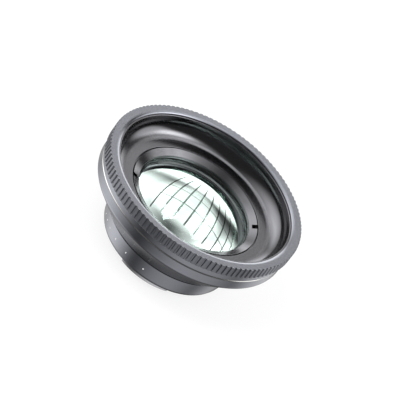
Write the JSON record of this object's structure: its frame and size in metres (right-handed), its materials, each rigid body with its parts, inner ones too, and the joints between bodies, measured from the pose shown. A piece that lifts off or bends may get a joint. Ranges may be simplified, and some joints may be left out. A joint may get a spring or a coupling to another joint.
{
  "type": "phone wide-angle lens",
  "caption": "Clip-on wide-angle lens for a phone: knurled front ring, dark hood cup, domed front glass, conical metal barrel and a bayonet foot.",
  "frame": {"origin": "middle of the foot, on the plane that the bayonet lugs stand on", "axes": "+Z along the optical axis towards the front glass; -Y is the side that the index dots and one lug face"},
  "size_m": [0.06, 0.06, 0.0271],
  "materials": {
    "grey_anodised": "fine blasted, grey anodised, satin",
    "black_anodised": "black anodised, satin",
    "coated_glass": "polished, thin anti-reflection coating",
    "foot_metal": "turned, dark grey anodised",
    "steel": "plain steel",
    "rubber": "matte",
    "stop_film": "matte black film"
  },
  "bodies": {
    "root": {"front_ring": "grey_anodised", "hood_cup": "black_anodised", "cup_gasket": "rubber", "front_retaining_ring": "black_anodised", "front_gasket": "rubber", "front_element": "coated_glass", "spacer_ring": "black_anodised", "second_element": "coated_glass", "light_stop": "stop_film", "doublet_front": "coated_glass", "doublet_rear": "coated_glass", "rear_retaining_ring": "black_anodised", "lens_cell": "black_anodised", "cell_screws": "steel", "cell_seal": "rubber", "main_barrel": "grey_anodised", "mount_ring": "grey_anodised", "bayonet_base": "foot_metal", "mount_screws": "steel", "locating_pin": "steel"}
  },
  "joints": []
}
